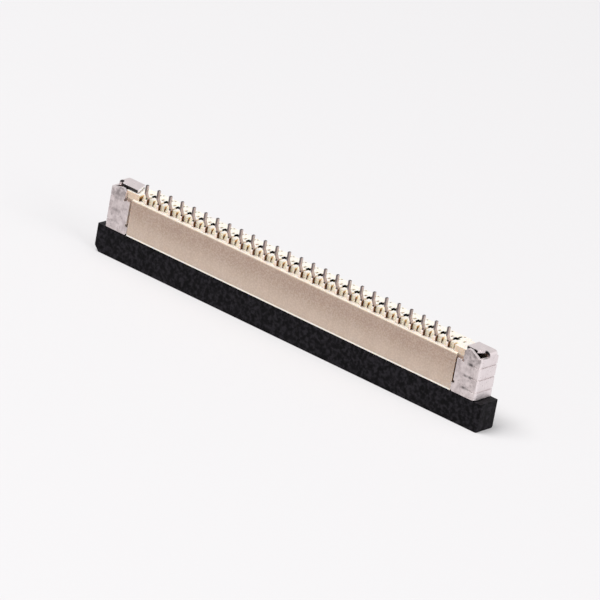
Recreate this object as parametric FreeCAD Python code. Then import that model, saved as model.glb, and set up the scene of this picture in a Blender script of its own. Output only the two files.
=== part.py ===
import FreeCAD, Part
import math
import os

V = FreeCAD.Vector

# A 1.0 mm pitch cable connector, standing on the slider's mating face.
# X runs along the row of contacts, Z points up to the solder tails, and
# the board side (the soldering plane) looks to -Y. All sizes are in mm.
# The word depth below is the distance from the board-side face into +Y.

# Row of contacts
ways = 26                 # contacts in the row
pitch = 1.0               # centre to centre
span = (ways - 1) * pitch

# Thickness across the connector
standoff = 0.03           # solder plane in front of the housing's face
housing_t = 1.85          # board-side face to the back of the housing
face_y = -(standoff + housing_t) / 2.0 + standoff

# Heights along Z
flange_h = 1.88           # black flange of the slider
shut_gap = 0.03           # flange to housing mouth when shut
wall_h = 2.49             # board-side wall of the housing
tower_rise = 0.39         # towers above the board-side wall
tail_out = 0.98           # tails above the towers
mouth_z = flange_h + shut_gap
rim_z = mouth_z + wall_h
tower_z = rim_z + tower_rise
tail_z = tower_z + tail_out

# Contact, cut from flat strip; its outline lies in the Y-Z plane
strip_t = 0.15            # strip thickness
slot_clear = 0.0125       # strip to slot, each side
barb_bite = 0.01          # barb pressed into the plastic
skin = 0.18               # plastic left outside the spring beam
beam_w = 0.18             # width of the spring beam
bump_rise = 0.18          # contact point above the floor of the slot
arm_w = 0.18              # width of the upper arm
foot_w = 0.19             # width of the solder foot at the tail's end
foot_up = 0.40            # foot's lower end above the towers
neck_w = 0.22             # width of the leaning neck below the foot
neck_d = 0.20             # depth of the neck's lower front corner
heel_d = 0.12             # depth of the rounded heel below the neck
heel_up = 0.20            # heel's lower end above the rim
beam_tip_up = 0.38        # beam tip above the housing mouth
bump_up = 0.34            # contact point above the beam tip
bend_up = 0.62            # beam's bend above its tip
throat_up = 1.82          # fork throat above the housing mouth
bridge_up = 0.36          # top of the bridge above the throat
body_d = 0.89             # depth of the body's back edge at the rear
body_drop = 0.08          # body's end below the tower tops
stub_w = 0.40             # width of the upper arm's rear stub
stub_drop = 0.03          # stub's end below the tower tops
barb_drop = 0.14          # barb's point below the bridge
barb_run = 0.10           # half length of the barb
nose_run = 0.14           # length of the upper arm's bevelled nose

# Cable slot
cable_t = 0.30            # thickness of the cable's stiffened end
cable_side = 0.10         # cable to slot, each side
cable_w = (ways + 1) * pitch
slot_half = cable_w / 2.0 + cable_side

# Stack of depths from the board-side face inwards
beam_d0 = skin
beam_d1 = beam_d0 + beam_w
floor_d = beam_d1 + 0.02
bump_d = floor_d + bump_rise
mouth_d0 = bump_d - 0.09
mouth_d1 = bump_d + cable_t + 0.04
tongue_t = 0.26           # slider tongue
tongue_clear = 0.04       # tongue to the upper arms
tongue_d0 = mouth_d1 + 0.01
tongue_d1 = tongue_d0 + tongue_t
arm_d0 = tongue_d1 + tongue_clear
arm_d1 = arm_d0 + arm_w
roof_d = arm_d0 + 0.12
groove_d1 = arm_d1 + slot_clear
slot_d1 = arm_d0 + stub_w + 2 * slot_clear

# Housing
face_margin = 0.98        # end contact to the end of the flat face
end_margin = 2.68         # end contact to the end of the housing
end_t = 1.70              # thickness of the housing's two ends
rim_t = 0.36              # thickness of the board-side wall at the rear
tower_w = 0.80            # width of each tower
groove_drop = 0.06        # groove's low end below the rim
groove_run = 0.30         # run of the groove's ramp up to the tower tops
dip_d0 = 0.95             # shallow dip behind each groove
dip_run = 0.30
dip_w = 0.16
dip_deep = 0.05
dip_shift = 0.13          # dip's offset to +X from the groove
window_w = 0.30           # open window between a contact's two limbs
window_deep = 0.50
dimple_w = 0.14           # small square dimple near the rear edge
dimple_deep = 0.12
dimple_shift = 0.15       # dimple's offset to +X from the contact
dimple_back = 0.06        # dimple to the back of the housing
mouth_flare = 0.10        # flare of the slot's mouth, each side
mouth_lead = 0.14         # length of that flare
rim_r = 0.07              # rounding of the rim
cavity_up = 1.87          # cable slot's end above the mouth
block_out = 1.72          # end contact to the outer side of that block
step_drop = 0.30          # end step below the rim
rear_wall_t = 0.25        # wall behind the end step
groove_w = pitch - tower_w
row_half = span / 2.0 + tower_w / 2.0 + groove_w
face_half = span / 2.0 + face_margin
end_half = span / 2.0 + end_margin
block_half = span / 2.0 + block_out

# Slider
slider_t = 1.80
slider_over = 0.57        # flange beyond the solder tabs
key_cut = 0.45            # cut lower corner that marks the first contact
back_r = 0.42             # rounded lower back edge
mouth_taper = 0.18        # taper of the cable's mouth, each side
taper_run = 0.25          # depth of that taper
tongue_up = 1.66          # tongue above the flange
tongue_tip = 0.30         # length of its thinner tip
tongue_side = 0.18        # tongue to the slot's ends
travel = 1.15             # opening stroke
latch_arm_w = 0.50
latch_arm_t = 0.76
latch_hook = 0.20
latch_arm_up = 2.00
arm_clear = 0.06          # arm to its pocket
pocket_wall = 0.34        # slot end to the pocket

# Solder tabs, folded from sheet
sheet_t = 0.20
tab_gap = 0.02            # tab to housing end
wall_gap = 0.02           # tab's foot to the side of the flat face
plate_gap = 0.13          # tab's plate to the side of the flat face
upper_in = 1.56           # end contact to its upper, narrower part
tab_bottom = 0.02         # tab above the housing mouth
foot_h = 0.54             # height of the tab's foot
notch_h = 0.18            # notch above the foot
notch_deep = 0.11
wide_h = 2.23             # height of the wide lower part
relief_r = 0.09           # round relief at the step of the inner edge
corner_r = 0.28           # outer radius of the folds
wall_top = 0.27           # end wall above the rim
peak_right = 0.64         # right plate's peak above the rim
peak_left = 0.50          # left plate's peak above the rim
peak_cut = 0.22           # cut inner corner of the peak
flap_right = 1.40         # end contact to the right flap's front corner
flap_left = 0.88          # end contact to the left flap's front corner
flap_back = 1.38          # end contact to both flaps' back corners
flap_d0 = 0.34            # depth of the flaps' front edges
flap_lift = 0.03          # flap above the towers
flap_drop = 0.15          # flap's back edge before the housing's end
strap_d0 = 0.82           # depth where the folded strap starts
strap_run = 0.42          # reach of the strap's straight front edge
strap_slant = 0.24        # run of the slant from there to the front edge
bead_w = 0.11             # pressed line, width
bead_d = 0.055            # pressed line, depth
bead_wrap = 0.48          # its length on the front plate
bead_first = 0.54         # first pressed line above the tab's lower edge
bead_step = 0.81          # from one line to the next
tab_half = end_half + tab_gap + sheet_t
slider_half = tab_half + slider_over


def at(depth):
    """Y of a depth behind the board-side face."""
    return face_y + depth


def block(x0, x1, d0, d1, z0, z1):
    """Box between two X, two depths and two Z."""
    return Part.makeBox(x1 - x0, d1 - d0, z1 - z0, V(x0, at(d0), z0))


def rounded_wire(points):
    """Closed wire through 3-D corners, each with its own rounding."""
    n = len(points)
    starts = []
    ends = []
    arcs = []
    for i in range(n):
        p, r = points[i]
        before = points[i - 1][0] - p
        after = points[(i + 1) % n][0] - p
        u = V(before).normalize()
        w = V(after).normalize()
        if r <= 0:
            starts.append(p)
            ends.append(p)
            arcs.append(None)
            continue
        half = u.getAngle(w) / 2.0
        reach = r / math.tan(half)
        mid = (u + w).normalize()
        centre = p + mid * (r / math.sin(half))
        starts.append(p + u * reach)
        ends.append(p + w * reach)
        arcs.append(centre - mid * r)
    edges = []
    for i in range(n):
        if arcs[i] is not None:
            edges.append(Part.Arc(starts[i], arcs[i], ends[i]).toShape())
        j = (i + 1) % n
        if (starts[j] - ends[i]).Length > 1e-6:
            edges.append(Part.makeLine(ends[i], starts[j]))
    return Part.Wire(edges)


def prism_yz(corners, x0, x1):
    """Outline of (depth, z, radius) corners pushed from x0 to x1."""
    points = [(V(x0, at(d), z), r) for d, z, r in corners]
    return Part.Face(rounded_wire(points)).extrude(V(x1 - x0, 0, 0))


def prism_xz(corners, d0, d1):
    """Outline of (x, z, radius) corners pushed from d0 to d1."""
    points = [(V(x, at(d0), z), r) for x, z, r in corners]
    return Part.Face(rounded_wire(points)).extrude(V(0, d1 - d0, 0))


def prism_xy(corners, z0, z1):
    """Outline of (x, depth, radius) corners pushed from z0 to z1."""
    points = [(V(x, at(d), z0), r) for x, d, r in corners]
    return Part.Face(rounded_wire(points)).extrude(V(0, 0, z1 - z0))


def both_ends(shape):
    """The shape and its mirror image at the other end."""
    return [shape, shape.mirror(V(0, 0, 0), V(1, 0, 0))]


def contact_x(i):
    """X of the middle of contact i, counted from 0 at -X."""
    return -span / 2.0 + i * pitch


def make_contact():
    """Fork contact: spring beam, upper arm, body, heel and solder tail."""
    tip_z = mouth_z + beam_tip_up
    throat_z = mouth_z + throat_up
    foot_d0 = -standoff
    foot_d1 = foot_d0 + foot_w
    foot_z = tower_z + foot_up
    heel_z = rim_z + heel_up
    body_z = tower_z - body_drop
    stub_z = tower_z - stub_drop
    bridge_z = throat_z + bridge_up
    barb_z = bridge_z - barb_drop
    nose_z = tip_z + 0.16
    outline = [
        (foot_d0, tail_z, 0),
        (foot_d1, tail_z, 0),
        (foot_d1, foot_z + 0.06, 0.12),
        (neck_d + neck_w, tower_z, 0),
        (neck_d + neck_w + 0.04, body_z, 0),
        (body_d, body_z, 0),
        (body_d, bridge_z, 0),
        (arm_d0, bridge_z, 0),
        (arm_d0, stub_z, 0),
        (arm_d0 + stub_w, stub_z, 0),
        (arm_d0 + stub_w, bridge_z + 0.05, 0),
        (arm_d1, barb_z + barb_run, 0),
        (groove_d1 + barb_bite, barb_z, 0),
        (arm_d1, barb_z - barb_run, 0),
        (arm_d1, nose_z, 0),
        (arm_d0 + 0.06, nose_z, 0),
        (arm_d0, nose_z + nose_run, 0),
        (arm_d0, throat_z, 0.12),
        (beam_d1, throat_z, 0.12),
        (beam_d1, tip_z + bend_up, 0),
        (bump_d, tip_z + bump_up, 0.07),
        (beam_d1, tip_z, 0),
        (beam_d0 + 0.03, tip_z, 0),
        (beam_d0, tip_z + 0.20, 0),
        (beam_d0, heel_z - 0.10, 0),
        (heel_d, heel_z, 0.05),
        (heel_d, heel_z + 0.10, 0.06),
        (neck_d, tower_z + 0.04, 0.03),
        (foot_d0 + 0.07, foot_z - 0.07, 0),
        (foot_d0, foot_z, 0),
    ]
    return prism_yz(outline, -strip_t / 2.0, strip_t / 2.0)


def make_housing():
    """Moulded insulator with the cable slot, contact slots and towers."""
    low_z = rim_z - groove_drop
    step_z = rim_z - step_drop
    body = prism_yz([(0, mouth_z, 0), (housing_t, mouth_z, 0),
                     (housing_t, rim_z, 0), (0, rim_z, rim_r)],
                    -face_half, face_half)
    seat_d = sheet_t - standoff + tab_gap
    ends = block(face_half, end_half, seat_d, end_t, mouth_z, step_z)
    solids = both_ends(ends)
    upper = block(row_half - 0.01, block_half, seat_d, end_t,
                  step_z, tower_z)
    solids += both_ends(upper)
    rear = block(block_half - 0.01, end_half, end_t - rear_wall_t, end_t,
                 step_z - 0.01, tower_z)
    solids += both_ends(rear)
    tower_d = rim_t + 0.02
    solids.append(block(-row_half, row_half, tower_d, housing_t,
                        low_z, tower_z))
    body = body.fuse(solids)
    # ramped grooves part the fronts of the towers, shallow dips lie behind
    cuts = []
    for i in range(ways + 1):
        x = contact_x(i) - pitch / 2.0
        cuts.append(prism_yz([(tower_d - 0.01, low_z, 0),
                              (tower_d + 0.03, low_z, 0),
                              (tower_d + groove_run, tower_z + 0.01, 0),
                              (tower_d - 0.01, tower_z + 0.01, 0)],
                             x - groove_w / 2.0, x + groove_w / 2.0))
        x += dip_shift
        cuts.append(block(x - dip_w / 2.0, x + dip_w / 2.0, dip_d0,
                          dip_d0 + dip_run, tower_z - dip_deep, tower_z + 1))
    body = body.cut(cuts)
    # cable slot with a chamfered mouth
    cavity_z = mouth_z + cavity_up
    body = body.cut(block(-slot_half, slot_half, floor_d, roof_d,
                          mouth_z - 1, cavity_z))
    lead = prism_yz([(floor_d - mouth_flare, mouth_z - 0.01, 0),
                     (roof_d + mouth_flare, mouth_z - 0.01, 0),
                     (roof_d, mouth_z + mouth_lead, 0),
                     (floor_d, mouth_z + mouth_lead, 0)],
                    -slot_half, slot_half)
    body = body.cut(lead)
    # one slot for each contact
    w = strip_t / 2.0 + slot_clear
    tip_z = mouth_z + beam_tip_up
    cuts = []
    for i in range(ways):
        x = contact_x(i)
        cuts.append(block(x - w, x + w, beam_d0, floor_d + 0.01,
                          tip_z - 0.10, cavity_z + 0.01))
        cuts.append(block(x - w, x + w, roof_d - 0.01, groove_d1,
                          tip_z, cavity_z + 0.01))
        cuts.append(block(x - w, x + w, beam_d0, groove_d1,
                          cavity_z, low_z + 0.01))
        cuts.append(block(x - w, x + w, beam_d0, slot_d1,
                          low_z - 0.12, tower_z + 1))
        cuts.append(block(x - window_w / 2.0, x + window_w / 2.0,
                          body_d + 0.02, arm_d0 - 0.02,
                          tower_z - window_deep, tower_z + 1))
        x += dimple_shift
        d = housing_t - dimple_back
        cuts.append(block(x - dimple_w / 2.0, x + dimple_w / 2.0,
                          d - dimple_w, d, tower_z - dimple_deep,
                          tower_z + 1))
    body = body.cut(cuts)
    # pockets for the slider's arms, narrower at the mouth to catch hooks
    x0 = slot_half + pocket_wall
    x1 = x0 + latch_arm_w + 2 * arm_clear
    mid = housing_t / 2.0
    d0 = mid - latch_arm_t / 2.0 - arm_clear
    d1 = mid + latch_arm_t / 2.0 + arm_clear
    hook_z = flange_h + latch_arm_up - latch_hook * 2.0
    ledge_z = hook_z - travel
    top = flange_h + latch_arm_up + arm_clear
    pocket = block(x0, x1, d0, d1, mouth_z - 1, top)
    pocket = pocket.fuse(block(x0, x1 + latch_hook, d0, d1, ledge_z, top))
    body = body.cut(both_ends(pocket))
    return body.removeSplitter()


def make_slider():
    """Black slider: flange with the cable mouth, tongue and two arms."""
    inset = (housing_t - slider_t) / 2.0
    d0 = inset
    d1 = inset + slider_t
    side = prism_xz([(-slider_half, flange_h, 0.05),
                     (slider_half, flange_h, 0.05),
                     (slider_half, 0, 0.06),
                     (-slider_half + key_cut, 0, 0.15),
                     (-slider_half, key_cut, 0.15)], d0, d1)
    plan = prism_xy([(-slider_half, d0, 0.12), (slider_half, d0, 0.12),
                     (slider_half, d1, 0.20), (-slider_half, d1, 0.20)],
                    0, flange_h)
    end = prism_yz([(d0, flange_h, 0.03), (d1, flange_h, 0.03),
                    (d1, 0, back_r), (d0, 0, 0.04)],
                   -slider_half, slider_half)
    body = side.common(plan).common(end)
    tongue_half = slot_half - tongue_side
    tip = flange_h + tongue_up
    tongue = prism_yz([(tongue_d0, flange_h - 0.1, 0),
                       (tongue_d1, flange_h - 0.1, 0),
                       (tongue_d1, tip - tongue_tip, 0),
                       (tongue_d1 - 0.08, tip, 0.03),
                       (tongue_d0 + 0.06, tip, 0.03),
                       (tongue_d0, tip - tongue_tip, 0)],
                      -tongue_half, tongue_half)
    x0 = slot_half + pocket_wall + arm_clear
    x1 = x0 + latch_arm_w
    mid = housing_t / 2.0
    top = flange_h + latch_arm_up
    hook = latch_hook
    arm = prism_xz([(x0, flange_h - 0.1, 0), (x1, flange_h - 0.1, 0),
                    (x1, top - 2 * hook, 0), (x1 + hook, top - 2 * hook, 0),
                    (x1 + hook, top - hook, 0), (x1, top, 0),
                    (x0, top, 0.05)],
                   mid - latch_arm_t / 2.0, mid + latch_arm_t / 2.0)
    body = body.fuse([tongue] + both_ends(arm))
    body = body.cut(block(-slot_half, slot_half, mouth_d0, mouth_d1,
                          -1, flange_h + 0.001))
    lead = prism_yz([(mouth_d0 - mouth_taper, -0.01, 0),
                     (mouth_d1 + mouth_taper, -0.01, 0),
                     (mouth_d1, taper_run, 0), (mouth_d0, taper_run, 0)],
                    -slot_half, slot_half)
    return body.cut(lead).removeSplitter()


def make_tab(peak, flap_front):
    """Folded solder tab at +X: front plate, end wall and rear flap.

    peak is the plate's top above the rim, and flap_front the distance from
    the end contact to the flap's front corner: the two tabs differ in both.
    """
    z0 = mouth_z + tab_bottom
    wide_z = z0 + wide_h
    wall_z = rim_z + wall_top
    peak_z = rim_z + peak
    x_in = face_half + plate_gap
    x_up = span / 2.0 + upper_in
    x_out = tab_half
    front = -standoff
    inner_r = corner_r - sheet_t
    angle = prism_xy([(x_in, front, 0), (x_out, front, corner_r),
                      (x_out, end_t, 0), (x_out - sheet_t, end_t, 0),
                      (x_out - sheet_t, front + sheet_t, inner_r),
                      (x_in, front + sheet_t, 0)], z0, wall_z)
    angle = angle.cut(block(x_in - 1, x_up, -1, 1, wide_z, wall_z + 1))
    upper = prism_xz([(x_up, wide_z - 0.3, 0),
                      (x_out - corner_r, wide_z - 0.3, 0),
                      (x_out - corner_r, wall_z + 0.04, 0),
                      (x_up + 2 * peak_cut, peak_z, 0),
                      (x_up + peak_cut, peak_z, 0),
                      (x_up, peak_z - peak_cut, 0)], front, front + sheet_t)
    x_foot = face_half + wall_gap
    foot = prism_xz([(x_foot, z0 + 0.12, 0), (x_foot + 0.12, z0, 0),
                     (x_in + 0.1, z0, 0), (x_in + 0.1, z0 + foot_h, 0),
                     (x_foot, z0 + foot_h, 0)], front, front + sheet_t)
    shape = angle.fuse([upper, foot])
    # relief at the step, notch above the foot
    relief = Part.makeCylinder(relief_r, 2, V(x_up, at(-1), wide_z),
                               V(0, 1, 0))
    notch = block(x_in - 1, x_in + notch_deep, -1, 1, z0 + foot_h,
                  z0 + foot_h + notch_h)
    shape = shape.cut([relief, notch])
    # flap folded over the housing's end block
    flap_z0 = tower_z + flap_lift
    flap_z1 = flap_z0 + sheet_t
    flap_x = span / 2.0 + flap_front
    back_x = span / 2.0 + flap_back
    far_x = min(flap_x, back_x) - 0.1
    fold = prism_xz([(x_out - sheet_t, wall_z - 0.4, 0),
                     (x_out, wall_z - 0.4, 0),
                     (x_out, flap_z1, corner_r),
                     (far_x, flap_z1, 0), (far_x, flap_z0, 0),
                     (x_out - sheet_t, flap_z0, inner_r)], 0.3, end_t)
    strap_x = x_out - strap_run
    back_d = end_t - flap_drop
    plan = prism_xy([(x_out + 0.1, strap_d0, 0), (strap_x, strap_d0, 0),
                     (strap_x - strap_slant, flap_d0, 0),
                     (flap_x, flap_d0, 0.05), (back_x, back_d, 0.05),
                     (x_out + 0.1, back_d, 0)], z0, flap_z1 + 1)
    shape = shape.fuse(fold.common(plan))
    # three pressed lines round the outer corner
    lines = []
    for i in range(3):
        z = z0 + bead_first + i * bead_step
        ring = prism_xy([(x_out - bead_wrap, front - 0.5, 0),
                         (x_out + 0.5, front - 0.5, 0),
                         (x_out + 0.5, end_t + 0.1, 0),
                         (x_out - bead_d, end_t + 0.1, 0),
                         (x_out - bead_d, front + bead_d,
                          corner_r - bead_d),
                         (x_out - bead_wrap, front + bead_d, 0)],
                        z - bead_w / 2.0, z + bead_w / 2.0)
        lines.append(ring)
    return shape.cut(lines).removeSplitter()


os.makedirs("parts", exist_ok=True)


def save(name, shape):
    """Write one node's STEP file."""
    if shape.ShapeType == "Compound" and len(shape.Solids) == 1:
        shape = shape.Solids[0]
    shape.exportStep("parts/" + name + ".step")
    box = shape.BoundBox
    print(name, len(shape.Solids), shape.isValid(),
          round(box.XMin, 3), round(box.XMax, 3),
          round(box.YMin, 3), round(box.YMax, 3),
          round(box.ZMin, 3), round(box.ZMax, 3))


save("housing", make_housing())
save("slider", make_slider())
contact = make_contact()
for number in range(ways):
    placed = contact.copy()
    placed.translate(V(contact_x(number), 0, 0))
    save("contact_%02d" % (number + 1), placed)
save("solder_tab_right", make_tab(peak_right, flap_right))
left_tab = make_tab(peak_left, flap_left)
save("solder_tab_left", left_tab.mirror(V(0, 0, 0), V(1, 0, 0)))
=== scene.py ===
"""Dresses the flat cable connector: edges, finishes, studio and camera."""

import logging
import math
from dataclasses import dataclass, field
from enum import Enum

import bmesh
import bpy
from mathutils import Matrix, Vector


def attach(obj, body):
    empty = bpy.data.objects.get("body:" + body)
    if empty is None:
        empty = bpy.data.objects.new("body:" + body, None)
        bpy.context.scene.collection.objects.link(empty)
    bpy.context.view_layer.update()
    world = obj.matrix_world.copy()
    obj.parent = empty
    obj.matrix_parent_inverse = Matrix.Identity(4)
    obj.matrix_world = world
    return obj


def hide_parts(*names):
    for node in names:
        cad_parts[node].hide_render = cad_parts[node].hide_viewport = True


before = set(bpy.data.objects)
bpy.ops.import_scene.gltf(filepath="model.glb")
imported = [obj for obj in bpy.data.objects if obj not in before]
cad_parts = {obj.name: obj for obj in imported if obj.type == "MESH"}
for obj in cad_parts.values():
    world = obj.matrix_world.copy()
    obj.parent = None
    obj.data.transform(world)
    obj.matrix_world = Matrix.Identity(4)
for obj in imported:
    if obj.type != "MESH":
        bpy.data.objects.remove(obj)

LOG = logging.getLogger("connector")
MM = 0.001
# Corners nearer than this, in metres, are one corner.
WELD = 2e-7
# Faces that meet at less than FLAT are one face, and at more than CREASE an edge.
FLAT = math.radians(0.6)
CREASE = math.radians(33)
Colour = tuple[float, float, float]
Point = tuple[float, float, float]
# Two places in millimetres, between which a tone comes in or goes out.
Band = tuple[float, float]
# A band above the whole part, for a tone that a finish doesn't have.
NEVER: Band = (1000.0, 1001.0)


class Plating(Enum):
    """Which plated look a metal piece shows."""

    TIN = "dull_tin"
    SELECTIVE = "gold_flash_with_tin_tails"


class NodeKit:
    """Small helpers for laying out shader nodes in one tree."""

    def __init__(self, tree: bpy.types.NodeTree) -> None:
        """Keeps the tree that the helpers add to."""
        self.tree = tree

    def add(self, kind: str, **values: object) -> bpy.types.Node:
        """Adds a node.

        Args:
            kind: The node's type name.
            **values: Attributes set on the node.

        Returns:
            The new node.
        """
        node = self.tree.nodes.new(kind)
        for name, value in values.items():
            setattr(node, name, value)
        return node

    def join(self, source: bpy.types.NodeSocket, target: bpy.types.NodeSocket) -> None:
        """Links an output to an input."""
        self.tree.links.new(source, target)

    def math(self, operation: str, a: object, b: object = None,
             clamp: bool = False) -> bpy.types.NodeSocket:
        """Adds a Math node.

        Args:
            operation: The Math node's operation.
            a: A socket or a number.
            b: A socket, a number, or None for a one-input operation.
            clamp: Whether the result is held between 0 and 1.

        Returns:
            The result socket.
        """
        node = self.add("ShaderNodeMath", operation=operation, use_clamp=clamp)
        for slot, value in enumerate((a, b)):
            if value is None:
                continue
            if isinstance(value, bpy.types.NodeSocket):
                self.join(value, node.inputs[slot])
            else:
                node.inputs[slot].default_value = value
        return node.outputs[0]

    def mix(self, factor: object, a: object, b: object,
            blend: str = "MIX") -> bpy.types.NodeSocket:
        """Mixes two colours.

        Args:
            factor: A socket or a number from 0 to 1.
            a: The colour at 0, as a socket or three numbers.
            b: The colour at 1, as a socket or three numbers.
            blend: How b is laid over a.

        Returns:
            The mixed colour's socket.
        """
        node = self.add("ShaderNodeMix", data_type="RGBA", blend_type=blend)
        for slot, value in ((0, factor), (6, a), (7, b)):
            if isinstance(value, bpy.types.NodeSocket):
                self.join(value, node.inputs[slot])
            elif slot:
                node.inputs[slot].default_value = (*value, 1.0)
            else:
                node.inputs[slot].default_value = value
        return node.outputs[2]

    def ramp(self, value: bpy.types.NodeSocket, low: float, high: float,
             start: float = 0.0, end: float = 1.0) -> bpy.types.NodeSocket:
        """Maps a value smoothly from one range to another.

        Args:
            value: The socket to map.
            low: Input that gives start.
            high: Input that gives end.
            start: Output at low.
            end: Output at high.

        Returns:
            The mapped value's socket.
        """
        node = self.add("ShaderNodeMapRange", interpolation_type="SMOOTHSTEP")
        self.join(value, node.inputs["Value"])
        for name, number in (("From Min", low), ("From Max", high),
                             ("To Min", start), ("To Max", end)):
            node.inputs[name].default_value = number
        return node.outputs[0]

    def place(self, scale: Colour = (1000.0, 1000.0, 1000.0)) -> bpy.types.NodeSocket:
        """Gives object coordinates in millimetres times an extra scale.

        Args:
            scale: Factor along each axis, 1000 for millimetres.

        Returns:
            The vector socket.
        """
        coords = self.add("ShaderNodeTexCoord")
        mapping = self.add("ShaderNodeMapping")
        mapping.inputs["Scale"].default_value = scale
        self.join(coords.outputs["Object"], mapping.inputs["Vector"])
        return mapping.outputs[0]

    def fade(self, value: bpy.types.NodeSocket, band: Band) -> bpy.types.NodeSocket:
        """Gives a mask that goes out over a band."""
        return self.ramp(value, *band, 1.0, 0.0)

    def between(self, value: bpy.types.NodeSocket, rise: Band,
                fall: Band) -> bpy.types.NodeSocket:
        """Gives a mask that comes in over one band and goes out over another."""
        return self.both(self.ramp(value, *rise), self.fade(value, fall))

    def along(self, axis: int) -> bpy.types.NodeSocket:
        """Gives the position along one axis, in millimetres.

        Args:
            axis: 0 along the row, 1 from the board side to the back, 2 upwards.

        Returns:
            The position's socket.
        """
        split = self.add("ShaderNodeSeparateXYZ")
        self.join(self.place(), split.inputs[0])
        return split.outputs[axis]

    def height(self) -> bpy.types.NodeSocket:
        """Gives the height above the mating face, in millimetres."""
        return self.along(2)

    def both(self, first: object, *more: object) -> bpy.types.NodeSocket:
        """Multiplies masks, so that the result holds where all of them do.

        Args:
            first: The first mask, a socket or a number.
            *more: The others.

        Returns:
            The common mask's socket.
        """
        for mask in more:
            first = self.math("MULTIPLY", first, mask)
        return first

    def inverse(self, mask: bpy.types.NodeSocket) -> bpy.types.NodeSocket:
        """Turns a mask round."""
        return self.math("SUBTRACT", 1.0, mask, clamp=True)

    def noise(self, vector: bpy.types.NodeSocket, scale: object, detail: float = 3.0,
              rough: float = 0.55) -> bpy.types.NodeSocket:
        """Adds a noise texture.

        Args:
            vector: Where it is read.
            scale: A socket or a number of cells per unit.
            detail: Octaves.
            rough: How much the octaves add.

        Returns:
            The value's socket.
        """
        node = self.add("ShaderNodeTexNoise")
        self.join(vector, node.inputs["Vector"])
        if isinstance(scale, bpy.types.NodeSocket):
            self.join(scale, node.inputs["Scale"])
        else:
            node.inputs["Scale"].default_value = scale
        node.inputs["Detail"].default_value = detail
        node.inputs["Roughness"].default_value = rough
        return node.outputs["Fac"]


class EffectGroup:
    """One shared effect, built once as a node group."""

    def __init__(self, name: str, inputs: dict[str, float],
                 outputs: tuple[str, ...]) -> None:
        """Makes the group and its sockets.

        Args:
            name: The group's name.
            inputs: Names and default numbers of the inputs.
            outputs: Names of the value outputs.
        """
        self.group = bpy.data.node_groups.new(name, "ShaderNodeTree")
        face = self.group.interface
        for label, number in inputs.items():
            socket = face.new_socket(name=label, in_out="INPUT",
                                     socket_type="NodeSocketFloat")
            socket.default_value = number
        for label in outputs:
            face.new_socket(name=label, in_out="OUTPUT", socket_type="NodeSocketFloat")
        self.kit = NodeKit(self.group)
        self.inn = self.kit.add("NodeGroupInput").outputs
        self.out = self.kit.add("NodeGroupOutput").inputs
        self.build()

    def build(self) -> None:
        """Lays out the effect; each kind fills this in."""

    def use(self, kit: NodeKit, **values: float) -> bpy.types.NodeOutputs:
        """Places the group in a material.

        Args:
            kit: The material's kit.
            **values: Numbers for the inputs, spaces written as underscores.

        Returns:
            The placed group's outputs.
        """
        node = kit.add("ShaderNodeGroup")
        node.node_tree = self.group
        for name, number in values.items():
            node.inputs[name.replace("_", " ")].default_value = number
        return node.outputs


class MouldGrain(EffectGroup):
    """Spark-eroded tool texture: fine grain over slow waves."""

    def __init__(self) -> None:
        """Makes the group."""
        super().__init__("Mould grain", {"Grain": 18.0, "Waves": 0.7},
                         ("Grain", "Waves", "Height"))

    def build(self) -> None:
        """Lays out the effect."""
        kit = self.kit
        place = kit.place()
        fine = kit.noise(place, self.inn["Grain"], 2.0, 0.6)
        slow = kit.noise(place, self.inn["Waves"], 3.0, 0.5)
        kit.join(fine, self.out["Grain"])
        kit.join(slow, self.out["Waves"])
        both = kit.math("ADD", kit.math("MULTIPLY", fine, 0.6),
                        kit.math("MULTIPLY", slow, 0.4))
        kit.join(both, self.out["Height"])


class DrawMarks(EffectGroup):
    """Faint upright marks left as the moulding or strip leaves its tool."""

    def __init__(self) -> None:
        """Makes the group."""
        super().__init__("Draw marks", {"Across": 9.0, "Along": 0.5}, ("Marks",))

    def build(self) -> None:
        """Lays out the effect."""
        kit = self.kit
        coords = kit.add("ShaderNodeTexCoord")
        split = kit.add("ShaderNodeSeparateXYZ")
        kit.join(coords.outputs["Object"], split.inputs[0])
        merge = kit.add("ShaderNodeCombineXYZ")
        across = kit.math("MULTIPLY", self.inn["Across"], 1000.0)
        along = kit.math("MULTIPLY", self.inn["Along"], 1000.0)
        kit.join(kit.math("MULTIPLY", split.outputs[0], across), merge.inputs[0])
        kit.join(kit.math("MULTIPLY", split.outputs[1], across), merge.inputs[1])
        kit.join(kit.math("MULTIPLY", split.outputs[2], along), merge.inputs[2])
        kit.join(kit.noise(merge.outputs[0], 1.0, 3.0, 0.6), self.out["Marks"])


class WornAndHighlitEdges(EffectGroup):
    """Mask of outside edges, broken up by noise, for wear and for painted edge
    highlights.
    """

    def __init__(self) -> None:
        """Makes the group."""
        super().__init__("Worn edges", {"Radius": 0.00004, "Break up": 6.0}, ("Mask",))

    def build(self) -> None:
        """Lays out the effect."""
        kit = self.kit
        bevel = kit.add("ShaderNodeBevel", samples=4)
        kit.join(self.inn["Radius"], bevel.inputs["Radius"])
        shape = kit.add("ShaderNodeNewGeometry")
        dot = kit.add("ShaderNodeVectorMath", operation="DOT_PRODUCT")
        kit.join(bevel.outputs[0], dot.inputs[0])
        kit.join(shape.outputs["Normal"], dot.inputs[1])
        bend = kit.math("SUBTRACT", 1.0, dot.outputs["Value"])
        patches = kit.ramp(kit.noise(kit.place(), self.inn["Break up"], 3.0),
                           0.35, 0.65, 0.35, 1.0)
        mask = kit.math("MULTIPLY", kit.ramp(bend, 0.02, 0.25), patches, clamp=True)
        kit.join(mask, self.out["Mask"])


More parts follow.
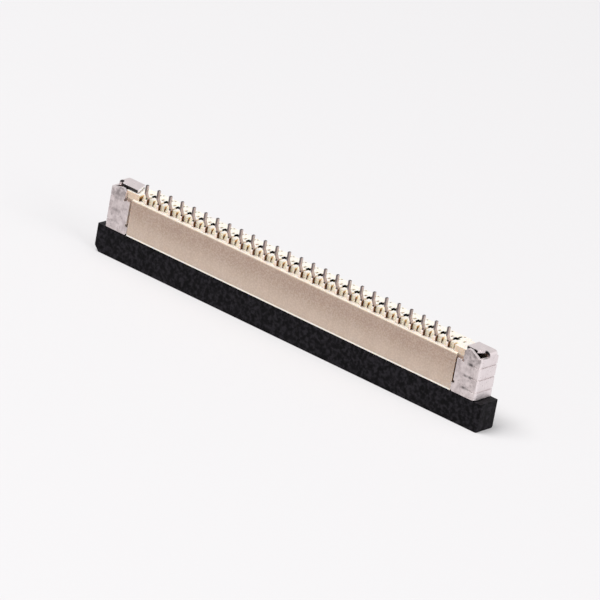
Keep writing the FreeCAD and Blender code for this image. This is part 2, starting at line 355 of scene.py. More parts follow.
class DustSpecks(EffectGroup):
    """Sparse pale specks that settle more on faces that look up."""

    def __init__(self) -> None:
        """Makes the group."""
        super().__init__("Dust specks", {"Cells": 5.0, "Amount": 0.5}, ("Mask",))

    def build(self) -> None:
        """Lays out the effect."""
        kit = self.kit
        cells = kit.add("ShaderNodeTexVoronoi", feature="F1")
        kit.join(kit.place(), cells.inputs["Vector"])
        kit.join(self.inn["Cells"], cells.inputs["Scale"])
        dots = kit.ramp(cells.outputs["Distance"], 0.05, 0.16, 1.0, 0.0)
        split = kit.add("ShaderNodeSeparateColor")
        kit.join(cells.outputs["Color"], split.inputs[0])
        rare = kit.ramp(split.outputs[0], 0.72, 0.80)
        shape = kit.add("ShaderNodeNewGeometry")
        up = kit.add("ShaderNodeSeparateXYZ")
        kit.join(shape.outputs["Normal"], up.inputs[0])
        lying = kit.ramp(up.outputs[2], -0.2, 0.8, 0.4, 1.0)
        mask = kit.math("MULTIPLY", kit.math("MULTIPLY", dots, rare), lying)
        kit.join(kit.math("MULTIPLY", mask, self.inn["Amount"], clamp=True),
                 self.out["Mask"])


class CreviceShade(EffectGroup):
    """Masks for painted shade in inner corners, and in the slots and holes far among
    them.
    """

    def __init__(self) -> None:
        """Makes the group."""
        super().__init__("Crevice shade", {"Reach": 0.0004, "Depth": 0.0012,
                                           "Open": 0.55, "Shut": 0.22},
                         ("Corner", "Hole"))

    def build(self) -> None:
        """Lays out the effect."""
        kit = self.kit
        shade = kit.add("ShaderNodeAmbientOcclusion", samples=8)
        kit.join(self.inn["Reach"], shade.inputs["Distance"])
        above = kit.math("SUBTRACT", shade.outputs["AO"], self.inn["Shut"])
        reach = kit.math("SUBTRACT", self.inn["Open"], self.inn["Shut"])
        share = kit.math("DIVIDE", above, reach)
        kit.join(kit.ramp(share, 0.0, 1.0, 1.0, 0.0), self.out["Corner"])
        far = kit.add("ShaderNodeAmbientOcclusion", samples=8)
        kit.join(self.inn["Depth"], far.inputs["Distance"])
        kit.join(kit.ramp(far.outputs["AO"], 0.10, 0.24, 1.0, 0.0), self.out["Hole"])


class Facing(EffectGroup):
    """Masks of the faces that look sideways, to the board, to the back and up."""

    def __init__(self) -> None:
        """Makes the group."""
        super().__init__("Facing", {"Low": 0.55, "High": 0.80},
                         ("Side", "Board", "Back", "Up"))

    def build(self) -> None:
        """Lays out the effect."""
        kit = self.kit
        coords = kit.add("ShaderNodeTexCoord")
        split = kit.add("ShaderNodeSeparateXYZ")
        kit.join(coords.outputs["Normal"], split.inputs[0])
        sides = {"Side": kit.math("ABSOLUTE", split.outputs[0]),
                 "Board": kit.math("MULTIPLY", split.outputs[1], -1.0),
                 "Back": split.outputs[1],
                 "Up": split.outputs[2]}
        for label, value in sides.items():
            node = kit.add("ShaderNodeMapRange", interpolation_type="SMOOTHSTEP")
            kit.join(value, node.inputs["Value"])
            kit.join(self.inn["Low"], node.inputs["From Min"])
            kit.join(self.inn["High"], node.inputs["From Max"])
            kit.join(node.outputs[0], self.out[label])


class Blotches(EffectGroup):
    """Cloudy stains and small dark pits of a dull plated sheet."""

    def __init__(self) -> None:
        """Makes the group."""
        super().__init__("Plating blotches", {"Clouds": 2.2, "Pits": 9.0},
                         ("Clouds", "Pits", "Height"))

    def build(self) -> None:
        """Lays out the effect."""
        kit = self.kit
        place = kit.place()
        clouds = kit.noise(place, self.inn["Clouds"], 5.0, 0.62)
        fine = kit.noise(place, self.inn["Pits"], 3.0, 0.6)
        pits = kit.ramp(fine, 0.60, 0.72)
        kit.join(clouds, self.out["Clouds"])
        kit.join(pits, self.out["Pits"])
        lift = kit.math("SUBTRACT", kit.math("MULTIPLY", clouds, 0.5),
                        kit.math("MULTIPLY", pits, 0.5))
        kit.join(lift, self.out["Height"])


@dataclass
class Effects:
    """The shared effects, each built once."""

    grain: MouldGrain = field(default_factory=MouldGrain)
    marks: DrawMarks = field(default_factory=DrawMarks)
    edges: WornAndHighlitEdges = field(default_factory=WornAndHighlitEdges)
    dust: DustSpecks = field(default_factory=DustSpecks)
    crevice: CreviceShade = field(default_factory=CreviceShade)
    facing: Facing = field(default_factory=Facing)
    blotches: Blotches = field(default_factory=Blotches)


def new_material(name: str) -> tuple[bpy.types.Material, NodeKit, bpy.types.Node]:
    """Makes a material with a Principled BSDF.

    Args:
        name: The material's name.

    Returns:
        The material, its kit and its Principled node.
    """
    material = bpy.data.materials.new(name)
    material.use_nodes = True
    material.node_tree.nodes.clear()
    kit = NodeKit(material.node_tree)
    shader = kit.add("ShaderNodeBsdfPrincipled")
    out = kit.add("ShaderNodeOutputMaterial")
    kit.join(shader.outputs[0], out.inputs[0])
    return material, kit, shader


def bump(kit: NodeKit, shader: bpy.types.Node, height: bpy.types.NodeSocket,
         depth_mm: float) -> None:
    """Feeds a height to the shader's normal.

    Args:
        kit: The material's kit.
        shader: The Principled node.
        height: The height's socket.
        depth_mm: Depth of a height of 1.
    """
    node = kit.add("ShaderNodeBump")
    node.inputs["Strength"].default_value = 1.0
    node.inputs["Distance"].default_value = depth_mm * MM
    kit.join(height, node.inputs["Height"])
    kit.join(node.outputs[0], shader.inputs["Normal"])


@dataclass(frozen=True)
class TowerShade:
    """Painted light and shade on the rear towers: gaps golden above and near black
    below, shaded dips, shaded ends beyond the row and black windows.
    """

    gap_lit_top: Colour = (0.66, 0.40, 0.16)
    gap_shade_bottom: Colour = (0.12, 0.040, 0.008)
    gap_mm: Band = (4.52, 4.70)
    wall_mm: Band = (4.38, 4.41)
    wall_end_mm: Band = (4.69, 4.76)
    dip_shade: Colour = (0.25, 0.205, 0.165)
    dimple_shade: Colour = (0.16, 0.145, 0.135)
    sunk_mm: Band = (4.60, 4.62)
    sunk_end_mm: Band = (4.77, 4.78)
    dip_mm: Band = (4.69, 4.71)
    end_block_shade: Colour = (0.76, 0.60, 0.46)
    block_mm: Band = (4.38, 4.42)
    window_depth_mm: Band = (-0.03, 0.31)
    window_across_mm: Band = (0.34, 0.705)
    window_mm: Band = (4.20, 4.25)
    window_blur_mm: float = 0.02
    row_mm: Band = (13.10, 13.14)
    black: Colour = (0.004, 0.003, 0.002)

    def window(self, kit: NodeKit, place: bpy.types.NodeSocket,
               sides: Band) -> bpy.types.NodeSocket:
        """Marks the stretch between two sides of the window.

        Args:
            kit: The material's kit.
            place: Position along one axis, in millimetres.
            sides: The window's two sides on that axis.

        Returns:
            The mask's socket.
        """
        low, high = sides
        return kit.between(place, (low - self.window_blur_mm, low),
                           (high, high + self.window_blur_mm))

    def apply(self, kit: NodeKit, facing: bpy.types.NodeOutputs,
              colour: bpy.types.NodeSocket) -> bpy.types.NodeSocket:
        """Lays the painted light and shade over the moulding's colour.

        Args:
            kit: The material's kit.
            facing: Outputs of the facing effect.
            colour: The colour so far.

        Returns:
            The new colour's socket.
        """
        high, depth, across = kit.height(), kit.along(1), kit.along(0)
        row = kit.fade(kit.math("ABSOLUTE", across), self.row_mm)
        # Painted light and shade in the gaps between towers: golden at the top, near
        # black lower down.
        gap = kit.mix(kit.ramp(high, *self.gap_mm), self.gap_shade_bottom, self.gap_lit_top)
        walls = kit.both(facing["Side"], row,
                         kit.between(high, self.wall_mm, self.wall_end_mm))
        colour = kit.mix(walls, colour, gap)
        # Painted shade on the sunk floors of the dips in the tower tops.
        sunk = kit.both(facing["Up"], row,
                        kit.between(high, self.sunk_mm, self.sunk_end_mm))
        floor = kit.mix(kit.ramp(high, *self.dip_mm), self.dimple_shade, self.dip_shade)
        colour = kit.mix(sunk, colour, floor)
        # Painted shade on the board-facing fronts of the housing's ends beyond the row.
        end = kit.both(facing["Board"], kit.inverse(row), kit.ramp(high, *self.block_mm))
        colour = kit.mix(end, colour, self.end_block_shade)
        # The windows painted black: painted shade where the holes fall dark.
        cell = kit.math("FRACT", across)
        window = kit.both(self.window(kit, cell, self.window_across_mm),
                          self.window(kit, depth, self.window_depth_mm),
                          kit.ramp(high, *self.window_mm), row)
        return kit.mix(window, colour, self.black)


@dataclass(frozen=True)
class MouldedFinish:
    """Moulded plastic with grain, slow tone changes, worn edges that double as painted
    highlights, and dust, with painted shade in corners and holes and painted light above
    the rim.
    """

    name: str
    base: Colour
    tint: Colour
    edge: Colour
    crevice_shade: Colour
    speck: Colour
    rough: float
    grain: float
    grain_share: float
    waves: float
    marks: float
    specks: float
    bump_mm: float
    specular: float
    glow: float = 0.0
    glow_radius: Colour = (1.0, 0.7, 0.45)
    glow_mm: float = 0.3
    black: Colour = (0.004, 0.003, 0.002)
    top_darkening: Colour = (1.0, 1.0, 1.0)
    top_darkening_mm: Band = NEVER
    crown_light: Colour = (1.0, 1.0, 1.0)
    crown_top_light: Colour = (1.0, 1.0, 1.0)
    crown_light_mm: Band = NEVER
    lip: Colour = (1.0, 0.92, 0.82)
    lip_mm: Band | None = None
    reach_mm: float = 0.4
    corner_mm: Band = NEVER
    board_corner: float = 1.0
    left_end_mm: Band = (-13.45, -13.40)
    towers: TowerShade | None = None

    def tones(self, kit: NodeKit, facing: bpy.types.NodeOutputs,
              grain: bpy.types.NodeOutputs,
              marks: bpy.types.NodeOutputs) -> bpy.types.NodeSocket:
        """Mixes the plastic's slow tones, a board face darker towards the top, painted
        light on the upper parts, a painted highlight along the lower lip, and grain.

        Args:
            kit: The material's kit.
            facing: Outputs of the facing effect.
            grain: Outputs of the mould grain.
            marks: Outputs of the draw marks.

        Returns:
            The colour's socket.
        """
        high = kit.height()
        slow = kit.ramp(grain["Waves"], 0.3, 0.7)
        streak = kit.ramp(marks["Marks"], 0.35, 0.68, 0.0, self.marks)
        tone = kit.math("ADD", kit.math("MULTIPLY", slow, 0.5), streak, clamp=True)
        colour = kit.mix(tone, self.base, self.tint)
        # Board faces darker towards the top.
        top_darkening = kit.both(kit.ramp(high, *self.top_darkening_mm), facing["Board"])
        colour = kit.mix(top_darkening, colour, self.top_darkening, "MULTIPLY")
        # Painted light above the rim: fronts painted pale, tops a little less so.
        crown_light = kit.mix(facing["Up"], self.crown_light, self.crown_top_light)
        above = kit.both(kit.ramp(high, *self.crown_light_mm), kit.inverse(facing["Back"]))
        colour = kit.mix(above, colour, crown_light)
        # Painted highlight: a pale line along the lower edge of the board face.
        if self.lip_mm is not None:
            low = kit.both(kit.fade(high, self.lip_mm), facing["Board"])
            colour = kit.mix(low, colour, self.lip)
        fine = kit.ramp(grain["Grain"], 0.38, 0.68, 0.0, self.grain_share)
        return kit.mix(fine, colour, self.edge)

    def crevices(self, kit: NodeKit, facing: bpy.types.NodeOutputs,
                 crevice: bpy.types.NodeOutputs,
                 colour: bpy.types.NodeSocket) -> bpy.types.NodeSocket:
        """Paints shade into inner corners and black into holes, but not beside the left
        tab.

        Args:
            kit: The material's kit.
            facing: Outputs of the facing effect.
            crevice: Outputs of the crevice shade.
            colour: The colour so far.

        Returns:
            The new colour's socket.
        """
        beside = kit.both(facing["Side"], kit.fade(kit.along(0), self.left_end_mm))
        elsewhere = kit.inverse(beside)
        corner = kit.both(crevice["Corner"], elsewhere,
                          kit.fade(kit.height(), self.corner_mm),
                          kit.ramp(facing["Board"], 0.0, 1.0, 1.0, self.board_corner))
        # Painted shade in inner corners, and painted black in the holes.
        colour = kit.mix(corner, colour, self.crevice_shade)
        return kit.mix(kit.both(crevice["Hole"], elsewhere), colour, self.black)

    def make(self, effects: Effects) -> bpy.types.Material:
        """Builds the material.

        Args:
            effects: The shared effects.

        Returns:
            The material.
        """
        material, kit, shader = new_material(self.name)
        grain = effects.grain.use(kit, Grain=self.grain, Waves=self.waves)
        marks = effects.marks.use(kit, Across=2.6, Along=0.30)
        edges = effects.edges.use(kit, Radius=0.04 * MM, Break_up=5.0)
        dust = effects.dust.use(kit, Cells=3.4, Amount=self.specks)
        crevice = effects.crevice.use(kit, Reach=self.reach_mm * MM)
        facing = effects.facing.use(kit)
        colour = self.tones(kit, facing, grain, marks)
        colour = self.crevices(kit, facing, crevice, colour)
        # Edges in the pale edge colour: partly wear, partly a painted highlight.
        colour = kit.mix(kit.math("MULTIPLY", edges["Mask"], 0.8), colour, self.edge)
        colour = kit.mix(dust["Mask"], colour, self.speck)
        if self.towers is not None:
            colour = self.towers.apply(kit, facing, colour)
        kit.join(colour, shader.inputs["Base Color"])
        rough = kit.math("ADD", kit.math("MULTIPLY", grain["Grain"], 0.22),
                         self.rough - 0.11)
        worn = kit.math("MULTIPLY", edges["Mask"], 0.10)
        kit.join(kit.math("SUBTRACT", rough, worn, clamp=True),
                 shader.inputs["Roughness"])
        shader.inputs["Specular IOR Level"].default_value = self.specular
        if self.glow:
            shader.inputs["Subsurface Weight"].default_value = self.glow
            shader.inputs["Subsurface Radius"].default_value = self.glow_radius
            shader.inputs["Subsurface Scale"].default_value = self.glow_mm * MM
        lift = kit.math("ADD", grain["Height"],
                        kit.math("MULTIPLY", marks["Marks"], 0.35 * self.marks))
        bump(kit, shader, lift, self.bump_mm)
        return material


@dataclass(frozen=True)
class StripShade:
    """Painted light and shade on the stamped strip: cut faces shaded dark, a pale
    painted highlight low down, and warm brown shade on the sides in the slots.
    """

    sheared_shade: Colour = (0.19, 0.155, 0.15)
    sheared_shade_low: Colour = (0.42, 0.33, 0.31)
    sheared_mm: Band = (5.02, 5.42)
    end: Colour = (0.050, 0.045, 0.044)
    heel_highlight: Colour = (0.92, 0.82, 0.76)
    heel_highlight_mm: Band = (4.73, 4.79)
    neck_mm: Band = (4.75, 4.78)
    neck_end_mm: Band = (4.83, 4.87)
    amber_shade: Colour = (0.19, 0.08, 0.03)
    amber_mm: Band = (4.75, 4.80)
    amber_depth_mm: Band = (-0.77, -0.71)
    wander_mm: float = 0.12
    inside_shade: Colour = (0.012, 0.009, 0.007)
    inside_mm: Band = (4.77, 4.79)
    inside_depth_mm: Band = (-0.05, -0.02)

    def stamped(self, kit: NodeKit, facing: bpy.types.NodeOutputs,
                colour: bpy.types.NodeSocket,
                cloud: bpy.types.NodeSocket) -> bpy.types.NodeSocket:
        """Lays the painted light and shade over the plating.

        Args:
            kit: The material's kit.
            facing: Outputs of the facing effect.
            colour: The colour so far.
            cloud: Noise that makes the limits uneven.

        Returns:
            The new colour's socket.
        """
        high, depth = kit.height(), kit.along(1)
        cut = kit.inverse(facing["Side"])
        # Painted shade on the cut faces, darker up the tail, and darkest on the faces
        # that look up.
        face = kit.mix(kit.ramp(high, *self.sheared_mm), self.sheared_shade_low, self.sheared_shade)
        face = kit.mix(facing["Up"], face, self.end)
        colour = kit.mix(cut, colour, face)
        wander = kit.math("MULTIPLY", kit.math("SUBTRACT", cloud, 0.5), self.wander_mm)
        edge = kit.math("ADD", high, wander)
        # Painted highlight: the contact pale below an uneven line near the rim.
        colour = kit.mix(kit.ramp(edge, *self.heel_highlight_mm), self.heel_highlight, colour)
        # Painted shade under the neck.
        neck = kit.both(cut, kit.between(high, self.neck_mm, self.neck_end_mm))
        colour = kit.mix(neck, colour, self.end)
        # Painted shade, warm brown, on the sides and backs of the contacts low in the
        # slots.
        shaded = kit.both(kit.fade(edge, self.amber_mm),
                          kit.ramp(depth, *self.amber_depth_mm),
                          kit.inverse(facing["Board"]), kit.inverse(facing["Up"]))
        return kit.mix(shaded, colour, self.amber_shade)

    def enclosed(self, kit: NodeKit,
                 colour: bpy.types.NodeSocket) -> bpy.types.NodeSocket:
        """Paints shade, near black, on the part of a contact that lies within the
        towers.

        Args:
            kit: The material's kit.
            colour: The colour so far.

        Returns:
            The new colour's socket.
        """
        inside_shade = kit.both(kit.ramp(kit.along(1), *self.inside_depth_mm),
                          kit.fade(kit.height(), self.inside_mm))
        return kit.mix(inside_shade, colour, self.inside_shade)


@dataclass(frozen=True)
class TabShade:
    """Painted light and shade on the folded tabs: shaded tops and upper plate, pale side
    faces, shadows along the pressed lines.
    """

    up_face_shade: Colour = (0.62, 0.565, 0.565)
    side_light: Colour = (0.86, 0.79, 0.80)
    side_light_share: float = 0.75
    shoulder_shade: Colour = (0.2115, 0.1845, 0.1845)
    shoulder_mm: Band = (3.9, 4.6)
    shoulder_share: float = 0.75
    press_and_lip_shade: Colour = (0.05, 0.045, 0.045)
    press_mm: tuple[float, ...] = (2.47, 3.28, 4.09)
    press_reach_mm: Band = (0.02, 0.14)
    press_share: float = 0.85
    press_across_mm: Band = (14.15, 14.45)
    press_end_mm: Band = (14.75, 15.1)
    left_share: float = 0.35
    lip_mm: Band = (4.80, 4.83)
    lip_depth_mm: Band = (-0.80, -0.75)
    inner_mm: Band = (-13.80, -13.70)

    def folded(self, kit: NodeKit, facing: bpy.types.NodeOutputs,
               colour: bpy.types.NodeSocket,
               cloud: bpy.types.NodeSocket) -> bpy.types.NodeSocket:
        """Lays the painted light and shade over the plating.

        Args:
            kit: The material's kit.
            facing: Outputs of the facing effect.
            colour: The colour so far.
            cloud: Noise that breaks the stains up.

        Returns:
            The new colour's socket.
        """
        high, depth, place = kit.height(), kit.along(1), kit.along(0)
        across = kit.math("ABSOLUTE", place)
        # Painted shade: up-facing faces darker, standing in for their dim reflection.
        colour = kit.mix(facing["Up"], colour, self.up_face_shade)
        # Painted light: side faces paler than the front.
        colour = kit.mix(kit.both(facing["Side"], self.side_light_share), colour, self.side_light)
        patchy = kit.ramp(cloud, 0.30, 0.62)
        # Painted shade over the upper plate, broken up by clouds.
        dull = kit.ramp(high, *self.shoulder_mm, 0.0, self.shoulder_share)
        colour = kit.mix(kit.both(facing["Board"], dull, patchy), colour, self.shoulder_shade)
        # Painted shadows along the pressed lines near the bend.
        plate = kit.both(facing["Board"], patchy,
                         kit.between(across, self.press_across_mm, self.press_end_mm),
                         kit.ramp(place, -1.0, 1.0, self.left_share, 1.0))
        for level in self.press_mm:
            gap = kit.math("ABSOLUTE", kit.math("SUBTRACT", high, level))
            press_shadow = kit.ramp(gap, *self.press_reach_mm, self.press_share, 0.0)
            colour = kit.mix(kit.both(plate, press_shadow), colour, self.press_and_lip_shade)
        # Painted shade on the flap's front edge.
        lip = kit.both(facing["Board"], kit.ramp(high, *self.lip_mm),
                       kit.ramp(depth, *self.lip_depth_mm))
        return kit.mix(lip, colour, self.press_and_lip_shade)

    def light_inner_edge(self, kit: NodeKit, facing: bpy.types.NodeOutputs,
                   colour: bpy.types.NodeSocket,
                   bright: Colour) -> bpy.types.NodeSocket:
        """Paints the left tab's cut inner edge bright: painted light where the gap would
        shade it.

        Args:
            kit: The material's kit.
            facing: Outputs of the facing effect.
            colour: The colour so far.
            bright: The edge's colour.

        Returns:
            The new colour's socket.
        """
        inner = kit.both(facing["Side"],
                         kit.between(kit.along(0), self.inner_mm, (0.0, 1.0)))
        return kit.mix(inner, colour, bright)


@dataclass(frozen=True)
class PlatedFinish:
    """Plated metal: clouds, pits, draw marks, worn edges painted bright as highlights,
    and painted shade in inner corners.
    """

    name: str
    base: Colour
    shade: Colour
    pit: Colour
    bright: Colour
    crevice_shade: Colour
    rough: float
    clouds: float
    bump_mm: float
    plating: Plating
    streaks: float = 0.4
    strip: StripShade = StripShade()
    tab: TabShade = TabShade()

    def make(self, effects: Effects) -> bpy.types.Material:
        """Builds the material.

        Args:
            effects: The shared effects.

        Returns:
            The material.
        """
        material, kit, shader = new_material(self.name)
        stain = effects.blotches.use(kit, Clouds=self.clouds, Pits=self.clouds * 4.0)
        marks = effects.marks.use(kit, Across=7.0, Along=0.8)
        edges = effects.edges.use(kit, Radius=0.03 * MM, Break_up=8.0)
        crevice = effects.crevice.use(kit, Reach=0.10 * MM, Open=0.40, Shut=0.12)
        facing = effects.facing.use(kit)
        cloud = kit.ramp(stain["Clouds"], 0.36, 0.66)
        streak = kit.ramp(marks["Marks"], 0.42, 0.66, 0.0, self.streaks)
        cloud = kit.math("ADD", kit.math("MULTIPLY", cloud, 0.7), streak, clamp=True)
        colour = kit.mix(cloud, self.base, self.shade)
        if self.plating is Plating.SELECTIVE:
            colour = self.strip.stamped(kit, facing, colour, stain["Clouds"])
        else:
            colour = self.tab.folded(kit, facing, colour, stain["Clouds"])
        colour = kit.mix(kit.math("MULTIPLY", stain["Pits"], 0.5), colour, self.pit)
        # Painted shade in inner corners.
        colour = kit.mix(crevice["Corner"], colour, self.crevice_shade)
        # Worn edges painted bright: partly wear, partly a painted highlight.
        colour = kit.mix(kit.math("MULTIPLY", edges["Mask"], 0.8), colour, self.bright)
        if self.plating is Plating.SELECTIVE:
            colour = self.strip.enclosed(kit, colour)
        else:
            colour = self.tab.light_inner_edge(kit, facing, colour, self.bright)
        kit.join(colour, shader.inputs["Base Color"])
        shader.inputs["Metallic"].default_value = 1.0
        rough = kit.math("ADD", kit.math("MULTIPLY", cloud, 0.16), self.rough)
        rough = kit.math("ADD", rough, kit.math("MULTIPLY", marks["Marks"], 0.10))
        worn = kit.math("MULTIPLY", edges["Mask"], 0.12)
        kit.join(kit.math("SUBTRACT", rough, worn, clamp=True),
                 shader.inputs["Roughness"])
        lift = kit.math("ADD", stain["Height"],
                        kit.math("MULTIPLY", marks["Marks"], 0.25))
        bump(kit, shader, lift, self.bump_mm)
        return material


def softened(node: str, name: str, body: str,
             radius_mm: float) -> bpy.types.Object:
    """Copies a solid of the frame, smooths its arcs and rounds its edges.

    Args:
        node: The frame's node that the copy stands for.
        name: The new piece's name.
        body: The body it rides on.
        radius_mm: Width of the rounding, 0 for a moulding's crisp edges.

    Returns:
        The new piece.
    """
    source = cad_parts[node]
    mesh = source.data.copy()
    mesh.name = name
    mesh.transform(source.matrix_world)
    mesh.materials.clear()
    # The stored corner normals bend the shading of the long flat faces.
    stored = mesh.attributes.get("custom_normal")
    if stored is not None:
        mesh.attributes.remove(stored)
    work = bmesh.new()
    work.from_mesh(mesh)
    bmesh.ops.remove_doubles(work, verts=work.verts, dist=WELD)
    bmesh.ops.dissolve_limit(work, angle_limit=FLAT, verts=work.verts,
                             edges=work.edges, use_dissolve_boundaries=False)
    for face in work.faces:
        face.smooth = True
    for edge in work.edges:
        edge.smooth = radius_mm > 0 or edge.calc_face_angle(0.0) < CREASE
    work.to_mesh(mesh)
    work.free()
    piece = bpy.data.objects.new(name, mesh)
    bpy.context.collection.objects.link(piece)
    if radius_mm > 0:
        bevel = piece.modifiers.new("rounding", "BEVEL")
        bevel.width = radius_mm * MM
        bevel.segments = 2
        bevel.limit_method = "ANGLE"
        bevel.angle_limit = CREASE
        bevel.use_clamp_overlap = True
        bevel.harden_normals = True
        bevel.miter_outer = "MITER_ARC"
    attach(piece, body)
    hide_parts(node)
    return piece


@dataclass
class SubAssembly:
    """Pieces that share one rounding and one finish."""

    rounding_mm: float
    finish: MouldedFinish | PlatedFinish

    def build(self) -> list[bpy.types.Object]:
        """Makes the pieces; each sub-assembly fills this in."""
        return []

    def dress(self, pieces: list[bpy.types.Object], effects: Effects) -> None:
        """Gives the pieces their finish.

        Args:
            pieces: The pieces from build.
            effects: The shared effects.
        """
        material = self.finish.make(effects)
        for piece in pieces:
            piece.data.materials.append(material)


@dataclass
class Insulator(SubAssembly):
    """The moulded housing that holds every contact."""

    rounding_mm: float = 0.0
    finish: MouldedFinish = MouldedFinish(
        name="Ivory moulding", base=(0.545, 0.424, 0.343), tint=(0.60, 0.474, 0.389),
        edge=(0.90, 0.79, 0.68), crevice_shade=(0.20, 0.085, 0.022), speck=(0.85, 0.80, 0.74),
        rough=0.50, grain=9.0, grain_share=0.20, waves=0.8, marks=0.4, specks=0.25,
        bump_mm=0.006, specular=0.15, glow=0.20, top_darkening=(0.74, 0.68, 0.66),
        top_darkening_mm=(2.3, 3.9), crown_light=(1.0, 0.905, 0.71), crown_top_light=(0.79, 0.745, 0.68),
        crown_light_mm=(4.25, 4.47), lip_mm=(1.98, 2.04), reach_mm=0.30,
        corner_mm=(4.62, 4.72), board_corner=0.08, towers=TowerShade())

    def build(self) -> list[bpy.types.Object]:
        """Makes the housing and returns it in a list."""
        return [softened("housing", "housing_shell", "fixed_body",
                         self.rounding_mm)]


@dataclass
class Actuator(SubAssembly):
    """The black slider that locks the cable."""

    rounding_mm: float = 0.0
    finish: MouldedFinish = MouldedFinish(
        name="Black moulding", base=(0.0010, 0.0008, 0.0012),
        tint=(0.0036, 0.0031, 0.0044), edge=(0.030, 0.0268, 0.0325),
        crevice_shade=(0.002, 0.0015, 0.002), speck=(0.07, 0.065, 0.07), rough=0.52, grain=3.6,
        grain_share=0.62, waves=1.1, marks=0.15, specks=0.4, bump_mm=0.030,
        specular=0.07)

    def build(self) -> list[bpy.types.Object]:
        """Makes the slider and returns it in a list."""
        return [softened("slider", "slider_shell", "moving_slider",
                         self.rounding_mm)]


@dataclass
class ContactRow(SubAssembly):
    """The stamped contacts with their solder tails."""

    rounding_mm: float = 0.014
    finish: PlatedFinish = PlatedFinish(
        name="Plated contact strip", base=(0.66, 0.56, 0.52), shade=(0.52, 0.42, 0.385),
        pit=(0.234, 0.189, 0.17325), bright=(0.80, 0.71, 0.67), crevice_shade=(0.16, 0.09, 0.05),
        rough=0.32, clouds=3.2, bump_mm=0.003, plating=Plating.SELECTIVE)

    def build(self) -> list[bpy.types.Object]:
        """Makes the contacts.

        Returns:
            The pieces made, one for each contact of the frame.
        """
        names = sorted(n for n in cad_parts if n.startswith("contact_"))
        return [softened(n, n.replace("contact", "strip"), "fixed_body",
                         self.rounding_mm) for n in names]


@dataclass
class SolderTabs(SubAssembly):
    """The two folded tabs that anchor the connector to its board."""

    rounding_mm: float = 0.02
    finish: PlatedFinish = PlatedFinish(
        name="Dull tin plate", base=(0.71, 0.635, 0.63), shade=(0.47, 0.41, 0.41),
        pit=(0.2115, 0.1845, 0.1845), bright=(0.94, 0.91, 0.90), crevice_shade=(0.14, 0.12, 0.12),
        rough=0.36, clouds=2.0, bump_mm=0.006, plating=Plating.TIN, streaks=0.18)

    def build(self) -> list[bpy.types.Object]:
        """Makes both tabs and returns them in a list."""
        return [softened(f"solder_tab_{side}", f"tab_{side}", "fixed_body",
                         self.rounding_mm) for side in ("left", "right")]


@dataclass(frozen=True)
class SoftLamp:
    """A square soft lamp that faces the connector, in metres and watts."""

    name: str
    place: Point
    size: float
    watts: float

    def hang(self) -> None:
        """Adds the lamp to the scene."""
        data = bpy.data.lights.new(self.name, "AREA")
        data.shape = "SQUARE"
        data.size = self.size
        data.energy = self.watts
        lamp = bpy.data.objects.new(self.name, data)
        bpy.context.collection.objects.link(lamp)
        lamp.location = self.place
        lamp.rotation_mode = "QUATERNION"
        lamp.rotation_quaternion = (-Vector(self.place)).to_track_quat("-Z", "Y")


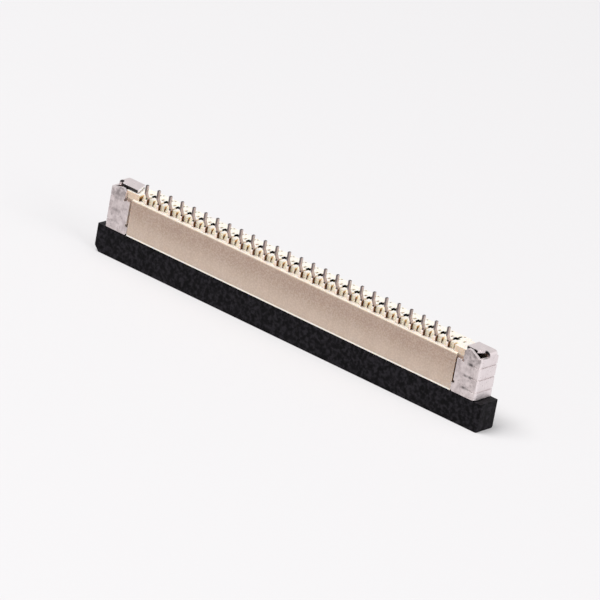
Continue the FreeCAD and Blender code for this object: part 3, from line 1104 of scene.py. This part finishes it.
@dataclass
class Studio:
    """Pale floor, soft lamps and world."""

    white: Colour = (0.930, 0.915, 0.922)
    matte: Colour = (0.718, 0.706, 0.711)
    plain_share: float = 0.25
    floor_half: float = 3.0
    sky: Colour = (0.97, 0.98, 1.0)
    sky_level: float = 0.35
    lamps: tuple[SoftLamp, ...] = (
        SoftLamp("Key lamp", (-0.18, -0.21, 0.67), 0.40, 5.0),
        SoftLamp("Side lamp", (0.50, -0.08, 0.22), 0.30, 1.2))

    def seen(self, kit: NodeKit) -> bpy.types.NodeSocket:
        """Marks rays that should see the plain white.

        Args:
            kit: The tree's kit.

        Returns:
            A value of 1 on camera, glossy and transmission rays.
        """
        path = kit.add("ShaderNodeLightPath")
        total = kit.math("ADD", path.outputs["Is Camera Ray"],
                         path.outputs["Is Glossy Ray"])
        return kit.math("ADD", total, path.outputs["Is Transmission Ray"], clamp=True)

    def shader(self, kit: NodeKit, kind: str, colour: Colour) -> bpy.types.Node:
        """Adds a plain shader.

        Args:
            kit: The tree's kit.
            kind: The shader node's type name.
            colour: Its colour.

        Returns:
            The shader's node.
        """
        node = kit.add(kind)
        node.inputs["Color"].default_value = (*colour, 1.0)
        return node

    def blend(self, kit: NodeKit, share: bpy.types.NodeSocket, low: bpy.types.Node,
              high: bpy.types.Node, output: str) -> None:
        """Blends two shaders into the tree's output.

        Args:
            kit: The tree's kit.
            share: The share of the second shader.
            low: The first shader.
            high: The second shader.
            output: The output node's type name.
        """
        node = kit.add("ShaderNodeMixShader")
        kit.join(share, node.inputs[0])
        kit.join(low.outputs[0], node.inputs[1])
        kit.join(high.outputs[0], node.inputs[2])
        kit.join(node.outputs[0], kit.add(output).inputs[0])

    def floor(self) -> None:
        """Makes the matte floor, which looks a little whiter to the camera."""
        mesh = bpy.data.meshes.new("studio_floor")
        half = self.floor_half
        mesh.from_pydata([(-half, -half, 0), (half, -half, 0), (half, half, 0),
                          (-half, half, 0)], [], [(0, 1, 2, 3)])
        floor = bpy.data.objects.new("studio_floor", mesh)
        bpy.context.collection.objects.link(floor)
        material = bpy.data.materials.new("Studio floor")
        material.use_nodes = True
        material.node_tree.nodes.clear()
        kit = NodeKit(material.node_tree)
        plain = self.shader(kit, "ShaderNodeEmission", self.white)
        matte = self.shader(kit, "ShaderNodeBsdfDiffuse", self.matte)
        share = kit.math("MULTIPLY", self.seen(kit), self.plain_share)
        self.blend(kit, share, matte, plain, "ShaderNodeOutputMaterial")
        mesh.materials.append(material)

    def world(self) -> None:
        """Makes the soft world, which the camera and the metal see as white."""
        world = bpy.data.worlds.new("Studio world")
        bpy.context.scene.world = world
        world.use_nodes = True
        world.node_tree.nodes.clear()
        kit = NodeKit(world.node_tree)
        soft = self.shader(kit, "ShaderNodeBackground", self.sky)
        soft.inputs["Strength"].default_value = self.sky_level
        pale = self.shader(kit, "ShaderNodeBackground", self.white)
        pale.inputs["Strength"].default_value = 1.0
        self.blend(kit, self.seen(kit), soft, pale, "ShaderNodeOutputWorld")

    def build(self) -> None:
        """Makes the floor, the world and the lamps."""
        self.floor()
        self.world()
        for lamp in self.lamps:
            lamp.hang()


@dataclass
class PhotoCamera:
    """The photograph's viewpoint, found from the row of tails.

    Angles are in degrees, lengths in metres and the focal length in pixels of
    the photograph's 600 by 600 frame.
    """

    azimuth: float = 36.322
    elevation: float = 21.354
    roll: float = 10.418
    distance: float = 0.371753
    right_shift: float = 0.001284
    up_shift: float = 0.002466
    depth_shift: float = -0.00091
    focal_pixels: float = 5919.95
    frame_pixels: float = 600.0
    sensor_mm: float = 36.0
    near: float = 0.02
    far: float = 20.0

    def build(self) -> bpy.types.Object:
        """Makes the camera and gives it to the scene.

        Returns:
            The camera.
        """
        a, e, r = (math.radians(v) for v in (self.azimuth, self.elevation, self.roll))
        back = Vector((math.sin(a) * math.cos(e), -math.cos(a) * math.cos(e),
                       math.sin(e)))
        level = Vector((math.cos(a), math.sin(a), 0.0))
        rise = back.cross(level)
        right = level * math.cos(r) + rise * math.sin(r)
        up = rise * math.cos(r) - level * math.sin(r)
        data = bpy.data.cameras.new("Photo camera")
        data.sensor_width = self.sensor_mm
        data.lens = self.focal_pixels / self.frame_pixels * self.sensor_mm
        data.clip_start = self.near
        data.clip_end = self.far
        data.dof.use_dof = False
        camera = bpy.data.objects.new("Photo camera", data)
        bpy.context.collection.objects.link(camera)
        spot = right * self.right_shift + up * self.up_shift + back * self.distance
        spot.y += self.depth_shift
        turn = Matrix((right, up, back)).transposed().to_4x4()
        camera.matrix_world = Matrix.Translation(spot) @ turn
        bpy.context.scene.camera = camera
        return camera


def main() -> None:
    """Builds every piece in order and reports it."""
    logging.basicConfig(level=logging.INFO, format="%(name)s: %(message)s")
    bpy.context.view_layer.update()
    bpy.context.scene.view_settings.view_transform = "Standard"
    PhotoCamera().build()
    Studio().build()
    effects = Effects()
    for part in (Insulator(), Actuator(), ContactRow(), SolderTabs()):
        pieces = part.build()
        part.dress(pieces, effects)
        for piece in pieces:
            LOG.info("%s: %s, %d faces", type(part).__name__, piece.name,
                     len(piece.data.polygons))


if __name__ == "__main__":
    main()
